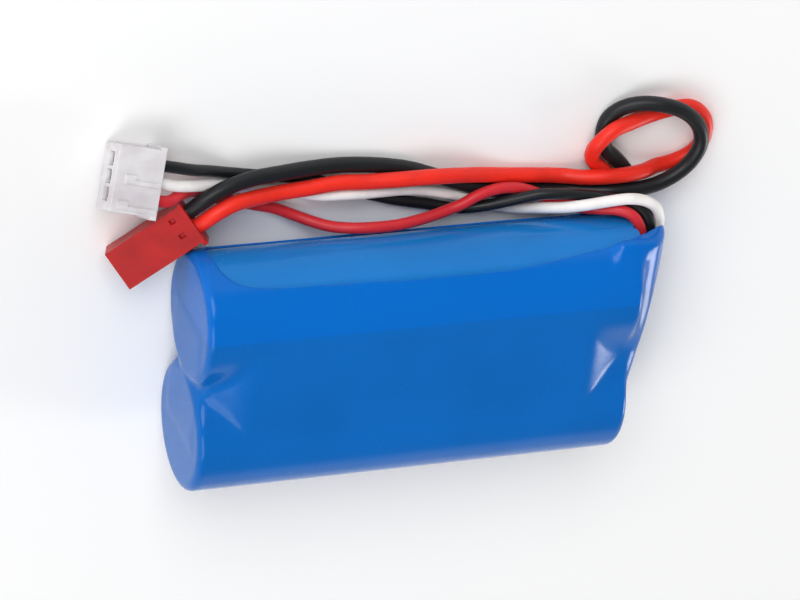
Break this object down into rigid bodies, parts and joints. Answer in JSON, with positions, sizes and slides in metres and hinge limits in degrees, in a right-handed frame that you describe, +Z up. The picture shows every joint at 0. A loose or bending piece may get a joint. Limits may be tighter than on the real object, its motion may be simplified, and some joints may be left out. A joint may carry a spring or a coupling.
{
  "type": "rechargeable battery pack",
  "caption": "Flat side-by-side cylindrical cell pack in glossy blue shrink film, with a red power plug and a white balance plug on looped silicone leads.",
  "frame": {"origin": "centre of the flat underside of the sleeve, midway between the two cell axes and midway between the film's two ends", "axes": "+X along the cells towards the end where the leads come out, +Y across the cells towards the leads and plugs, +Z up from the flat underside"},
  "size_m": [0.0954, 0.0547, 0.0192],
  "materials": {
    "sleeve": "glossy shrunk film",
    "cell_wrap": "thin cell wrap",
    "can_steel": "plated drawn steel",
    "cap_steel": "plated pressed steel",
    "jelly_roll": "wound coated foil",
    "insulator": "moulded gasket and discs",
    "paper_washer": "pressed paper",
    "nickel": "bright nickel strip",
    "solder": "solder",
    "end_board": "insulating board",
    "glue": "hot glue",
    "lead_red": "silicone insulation",
    "lead_black": "silicone insulation",
    "lead_thin_red": "silicone insulation",
    "lead_white": "silicone insulation",
    "plug_red": "moulded nylon",
    "plug_white": "translucent moulded nylon",
    "contact": "tin plated bronze"
  },
  "bodies": {
    "root": {"outer_sleeve": "sleeve", "cell_a_wrap": "cell_wrap", "cell_a_can": "can_steel", "cell_a_bottom_disc": "insulator", "cell_a_jelly_roll": "jelly_roll", "cell_a_top_disc": "insulator", "cell_a_gasket": "insulator", "cell_a_vent_disc": "cap_steel", "cell_a_cap": "cap_steel", "cell_a_washer": "paper_washer", "cell_b_wrap": "cell_wrap", "cell_b_can": "can_steel", "cell_b_bottom_disc": "insulator", "cell_b_jelly_roll": "jelly_roll", "cell_b_top_disc": "insulator", "cell_b_gasket": "insulator", "cell_b_vent_disc": "cap_steel", "cell_b_cap": "cap_steel", "cell_b_washer": "paper_washer", "series_strip": "nickel", "positive_tab": "nickel", "negative_tab": "nickel", "left_end_board": "end_board", "right_end_board": "end_board", "glue_beads": "glue", "solder_series": "solder", "solder_positive": "solder", "solder_negative": "solder", "inner_main_red": "lead_red", "inner_main_black": "lead_black", "inner_balance_red": "lead_thin_red", "inner_balance_black": "lead_black", "inner_balance_white": "lead_white", "main_red_lead": "lead_red", "main_black_lead": "lead_black", "balance_red_lead": "lead_thin_red", "balance_white_lead": "lead_white", "balance_black_lead": "lead_black", "power_plug_housing": "plug_red", "power_contact_red": "contact", "power_contact_black": "contact", "balance_plug_housing": "plug_white", "balance_contact_red": "contact", "balance_contact_white": "contact", "balance_contact_black": "contact"}
  },
  "joints": []
}
